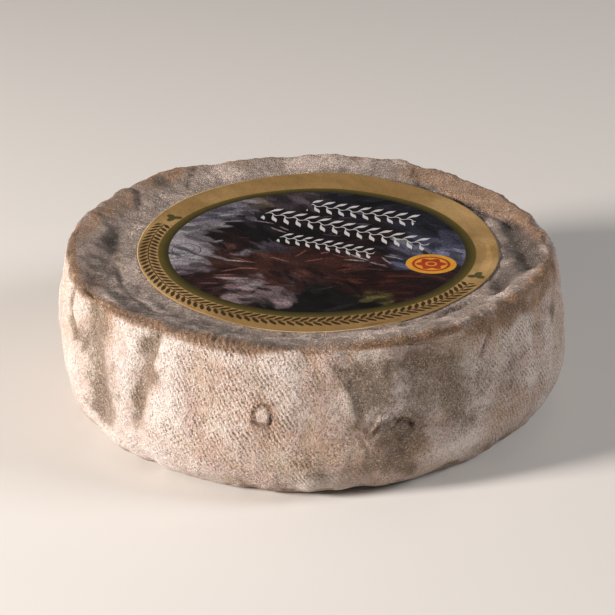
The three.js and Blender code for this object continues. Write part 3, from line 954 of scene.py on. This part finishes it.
def makeRind():
    n = Nodes("mouldedRind")
    see = rindNoises(n)
    see.mould, see.bloom = n.mark("mould"), n.mark("bloom")
    topFace = n.mark("topFace")
    ribs, knit = clothThreads(n, see)
    weave = n.times(n.mark("weave"), n.minus(1.0, topFace))
    weave = n.times(weave, n.fit(see.patchy, 0.38, 0.62, 0.1, 1.0))
    pits = n.times(n.fit(knit, -0.2, -0.85), weave)
    skin = n.mix(topFace, sideColour(n, see, ribs, weave, pits), topColour(n, see))
    ochre = n.sway(see.speck, 0.9, n.mark("ochre"))
    skin = n.mix(n.fit(ochre, 0.2, 0.8, 0, 0.8), skin, rind["ochre"])
    skin = n.mix(n.fit(ochre, 0.75, 1.3, 0, 0.8), skin, rind["ochreDark"])
    # painted shade in the folds and round the plug, with the deepest mould's stain
    foldShadeAndDeepMould = n.times(n.mark("foldShadeAndDeepMould"), n.fit(see.speck, 0.3, 0.55))
    skin = n.mix(n.fit(foldShadeAndDeepMould, 0.2, 0.9, 0, 0.8), skin, rind["foldShadeAndDeepMould"])
    skin = dustColour(n, see, plugColour(n, see, skin))
    n.link(n.shader.inputs["Base Color"], skin)
    n.link(n.shader.inputs["Roughness"], n.fit(see.patchy, 0.3, 0.7, *rind["roughness"]))
    n.shader.inputs["Specular IOR Level"].default_value = rind["specular"]
    n.shader.inputs["Sheen Weight"].default_value = rind["sheen"][0]
    n.shader.inputs["Sheen Roughness"].default_value = rind["sheen"][1]
    rise = n.times(n.times(knit, weave), rind["weaveDepth"])
    grain = n.times(n.plus(see.speck, see.grit), rind["grainDepth"])
    n.link(n.shader.inputs["Normal"], n.bump(n.plus(rise, grain), mm))
    print("rind finish:", len(n.tree.nodes), "nodes")
    return n.material


paper = {
    "gold": "a18357",
    # deeper gold, for the print's mottle and for the band's painted shade
    "goldDeepAndShade": "84683f",
    "oliveEdge": "50461f",
    "olive": "2f2912",
    "leaf": "31361a",
    "ink": "21180d",
    "pale": "c6c4c4",
    "badgeRim": "c48c2c",
    "badgeMiddle": "98351d",
    "cut": "cbb892",
    "cockle": 0.5,  # mm
    "fibres": 0.02,
    "roughness": (0.5, 0.68),
    "specular": 0.2,
}
ornament = {
    # leaves round the gold band: radius, pitch, half-height, half-width and lean of a leaf, in mm,
    # and the angles where the band starts and ends
    "band": (43.1, 2.1, 2.5, 0.76, 0.8),
    "bandEnds": (-112, 61),
    # rows of pale leaves across the picture: middle x, y, half-length, pitch, half-height, slope
    "rows": [
        (12.0, 20.9, 14.7, 3.4, 4.6, -20), (7.2, 11.1, 23.1, 3.5, 4.8, -25),
        (2.1, 1.1, 12.9, 2.8, 3.6, -23),
    ],
    "badge": (28.4, -9.6, 6.4, 1.16),  # x, y, radius, and how much wider than deep
    "thinRing": (-33.7, -1.7, 3.8),  # x, y, radius
}


def leafMask(n, along, beside, pitch, length, width, lean):
    # leaves on both sides of a stem, those below it half a pitch on: up the leaf (0 to 1) its
    # half-width is a parabola, and the leaf is where the distance from its sheared rib is less
    height = n.calc("ABSOLUTE", beside)
    up = n.calc("DIVIDE", height, length)
    slid = n.calc("MULTIPLY_ADD", n.calc("LESS_THAN", beside, 0.0), pitch / 2, along)
    slid = n.calc("MULTIPLY_ADD", height, -lean, slid)
    fold = n.minus(n.calc("FRACT", n.calc("DIVIDE", slid, pitch)), 0.5)
    fold = n.times(n.calc("ABSOLUTE", fold), pitch)
    lens = n.times(n.times(up, n.minus(1.0, up)), 4 * width)
    return n.times(n.fit(n.minus(lens, fold), -0.06, 0.1), n.fit(up, 1.0, 0.97))


def leafRows(n, picture, x, y):
    # each row has its own slope and a stem that sways a little
    for rowX, rowY, halfLength, pitch, halfHeight, rowSlope in ornament["rows"]:
        slope = math.radians(rowSlope)
        dx, dy = n.minus(x, rowX), n.minus(y, rowY)
        along = n.plus(n.times(dx, math.cos(slope)), n.times(dy, math.sin(slope)))
        beside = n.minus(n.times(dy, math.cos(slope)), n.times(dx, math.sin(slope)))
        sway = n.calc("SINE", n.times(along, 2 * math.pi / pitch))
        beside = n.calc("MULTIPLY_ADD", sway, 0.1 * halfHeight, beside)
        leaves = leafMask(n, along, beside, pitch, halfHeight, 0.15 * pitch, 0.6)
        stem = n.fit(n.calc("ABSOLUTE", beside), 0.26, 0.1)
        row = n.times(n.calc("MAXIMUM", leaves, stem), n.within(along, -halfLength, halfLength))
        picture = n.mix(n.times(row, 0.9), picture, paper["pale"])
    return picture


def lobedEdge(n, across, up, lobes, swell, radius):
    # the outline of a flower or leaf: a radius that swells by the cosine of some turns of the angle
    turns = n.calc("COSINE", n.times(n.calc("ARCTAN2", up, across), float(lobes)))
    return n.calc("MULTIPLY_ADD", turns, swell, radius)


def badgeAndRing(n, picture, x, y):
    # a disc with a ring and a six-lobed flower with an eye, and a thin ring at the other side
    badgeX, badgeY, radius, squash = ornament["badge"]
    dx, dy = n.minus(x, badgeX), n.times(n.minus(y, badgeY), squash)
    far, petals = n.size(dx, dy), lobedEdge(n, dx, dy, 6, 0.55, 3.3)
    picture = n.mix(n.fit(far, radius + 0.1, radius - 0.1), picture, paper["badgeRim"])
    picture = n.mix(n.within(far, radius * 0.64, radius * 0.76), picture, paper["badgeMiddle"])
    picture = n.mix(n.fit(n.minus(petals, far), -0.1, 0.1), picture, paper["badgeMiddle"])
    picture = n.mix(n.within(far, 1.0, 1.5), picture, paper["badgeRim"])
    ringX, ringY, radius = ornament["thinRing"]
    far = n.size(n.minus(x, ringX), n.minus(y, ringY))
    return n.mix(n.times(n.within(far, radius - 0.25, radius, 0.08), 0.8), picture, paper["ink"])


def goldFrame(n, place, picture, y, reach):
    # an olive ring round the picture; round that a mottled gold band, with painted shade in front and
    # behind
    goldFrom, oliveFrom = labelPrint["goldFrom"], labelPrint["oliveFrom"]
    gold = n.mix(n.fit(n.noise(place, 0.07, 3, 0.5), 0.35, 0.65), paper["gold"], paper["goldDeepAndShade"])
    gold = n.mix(n.fit(reach, goldFrom + 1.2, goldFrom - 0.3, 0, 0.35), gold, paper["goldDeepAndShade"])
    # painted shade: the gold darkens towards the band's front and back
    gold = n.mix(n.fit(n.calc("ABSOLUTE", y), 24, 42, 0, 0.9), gold, paper["goldDeepAndShade"])
    olive = n.mix(n.fit(reach, goldFrom, oliveFrom), paper["oliveEdge"], paper["olive"])
    face = n.mix(n.fit(reach, oliveFrom - 0.12, oliveFrom + 0.12), picture, olive)
    return n.mix(n.fit(reach, goldFrom - 0.12, goldFrom + 0.12), face, gold)


def leafBand(n, face, around, reach):
    # dark leaves on both sides of a line, and a three-lobed leaf past each end
    radius, pitch, halfHeight, halfWidth, lean = ornament["band"]
    beside = n.minus(reach, radius)
    leaves = leafMask(n, n.times(around, radius), beside, pitch, halfHeight, halfWidth, lean)
    leaves = n.calc("MAXIMUM", leaves, n.fit(n.calc("ABSOLUTE", beside), 0.22, 0.08))
    ends = [math.radians(end) for end in ornament["bandEnds"]]
    face = n.mix(n.times(n.times(leaves, n.within(around, *ends, 0.004)), 0.92), face, paper["ink"])
    for end in ends:
        along = n.times(n.minus(around, end + math.copysign(0.11, end)), radius)
        inside = n.minus(lobedEdge(n, along, beside, 3, 0.7, 1.8), n.size(along, beside))
        face = n.mix(n.fit(inside, -0.15, 0.15, 0, 0.9), face, paper["leaf"])
    return face


def makePaper():
    # the printed sheet: its picture and frame, the pale cut edge, and the cockle of damp paper
    n = Nodes("printedPaper")
    place = n.add("ShaderNodeTexCoord", output=3)
    middleX, middleY = label["middle"]
    local = n.add("ShaderNodeMapping", {"Vector": place, "Location": (-middleX, -middleY, 0),
                                        "Scale": (1 / mm, 1 / mm, 0)})
    parts = n.tree.nodes.new("ShaderNodeSeparateXYZ")
    n.link(parts.inputs[0], local)
    x, y = parts.outputs[0], parts.outputs[1]
    printX = n.minus(x, labelPrint["middle"][0])
    printY = n.times(n.minus(y, labelPrint["middle"][1]), labelPrint["squash"])
    reach = n.size(printX, printY)
    around = n.calc("ARCTAN2", printX, n.times(printY, -1.0))
    canvas = n.fit(n.noise(place, 1.8, 4, 0.75), 0.35, 0.65, 0.35, 0.92)
    paint = n.add("ShaderNodeAttribute", output=0, attribute_name="paint")
    picture = leafRows(n, n.shaded(paint, canvas), x, y)
    picture = badgeAndRing(n, picture, x, y)
    face = leafBand(n, goldFrame(n, place, picture, y, reach), around, reach)
    cutEdge = n.fit(n.size(x, y), label["radius"] - 0.25, label["radius"] - 0.1, 0, 0.7)
    face = n.mix(cutEdge, face, paper["cut"])
    fibres = n.noise(place, 2.6)
    n.link(n.shader.inputs["Base Color"], n.shaded(face, n.fit(fibres, 0.35, 0.65, 0.9, 1.06)))
    n.link(n.shader.inputs["Roughness"], n.fit(n.noise(place, 0.2, 4), 0.3, 0.7, *paper["roughness"]))
    n.shader.inputs["Specular IOR Level"].default_value = paper["specular"]
    cockle = n.times(n.noise(place, 0.16, 3, 0.5), paper["cockle"])
    rise = n.plus(cockle, n.times(fibres, paper["fibres"]))
    n.link(n.shader.inputs["Normal"], n.bump(rise, mm))
    print("paper finish:", len(n.tree.nodes), "nodes")
    return n.material


wheelPiece = makeWheel()
wheelPiece.data.materials.append(makeRind())
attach(wheelPiece, "root")
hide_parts("cheese_wheel")

labelPiece = makeLabel()
labelPiece.data.materials.append(makePaper())
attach(labelPiece, "root")
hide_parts("label")


studio = {
    "floor": "d8d5d0",
    "floorSize": 6,
    "world": ("d6d2ce", 0.12),
    # direction to the light (azimuth from the front, elevation), distance and size in metres,
    # watts, colour
    "lights": {
        "keyLight": (-66, 20, 0.9, 0.2, 16, "fff6f0"),
        "fillLight": (80, 34, 1.2, 0.5, 7.6, "faf9fc"),
        "backLight": (150, 66, 1.0, 0.5, 0.6, "fff2ea"),
    },
    "distance": 8,  # wheel radii from the camera to the wheel
    "elevation": 25.4,
    "lens": 117.5,
    "aim": (-0.54, 1.14),  # mm right and up, in the camera's view, from the wheel's middle
}


def direction(azimuth, elevation):
    turn, rise = math.radians(azimuth), math.radians(elevation)
    return Vector((math.sin(turn) * math.cos(rise), -math.cos(turn) * math.cos(rise), math.sin(rise)))


def makeStudio():
    middle = Vector((0, 0, wheel["height"] / 2 * mm))
    bpy.ops.mesh.primitive_plane_add(size=studio["floorSize"], location=(0, 0, 0))
    floor = bpy.context.object
    floor.name = "studioFloor"
    n = Nodes("palePaint")
    n.shader.inputs["Base Color"].default_value = tint(studio["floor"])
    n.shader.inputs["Roughness"].default_value = 0.8
    floor.data.materials.append(n.material)
    for name, (azimuth, elevation, distance, size, watts, warmth) in studio["lights"].items():
        lamp = bpy.data.lights.new(name, "AREA")
        lamp.color = tint(warmth)[:3]
        lamp.shape, lamp.size, lamp.energy = "DISK", size, watts
        holder = bpy.data.objects.new(name, lamp)
        bpy.context.scene.collection.objects.link(holder)
        toLight = direction(azimuth, elevation)
        holder.location = middle + toLight * distance
        holder.rotation_euler = toLight.to_track_quat("Z", "Y").to_euler()
    world = bpy.data.worlds.new("softRoom")
    world.use_nodes = True
    background = world.node_tree.nodes["Background"]
    background.inputs[0].default_value = tint(studio["world"][0])
    background.inputs[1].default_value = studio["world"][1]
    bpy.context.scene.world = world
    bpy.context.scene.view_settings.view_transform = "Standard"

    lens = bpy.data.cameras.new("camera")
    lens.lens, lens.sensor_width = studio["lens"], 36
    lens.clip_start, lens.clip_end = 0.05, 20
    camera = bpy.data.objects.new("camera", lens)
    bpy.context.scene.collection.objects.link(camera)
    back = direction(0, studio["elevation"])
    turn = back.to_track_quat("Z", "Y")
    right, up = turn @ Vector((1, 0, 0)), turn @ Vector((0, 1, 0))
    aim = middle + (right * studio["aim"][0] + up * studio["aim"][1]) * mm
    camera.location = aim + back * studio["distance"] * wheel["radius"] * mm
    camera.rotation_euler = turn.to_euler()
    bpy.context.scene.camera = camera
    print("studio ready")


makeStudio()
bpy.context.view_layer.update()
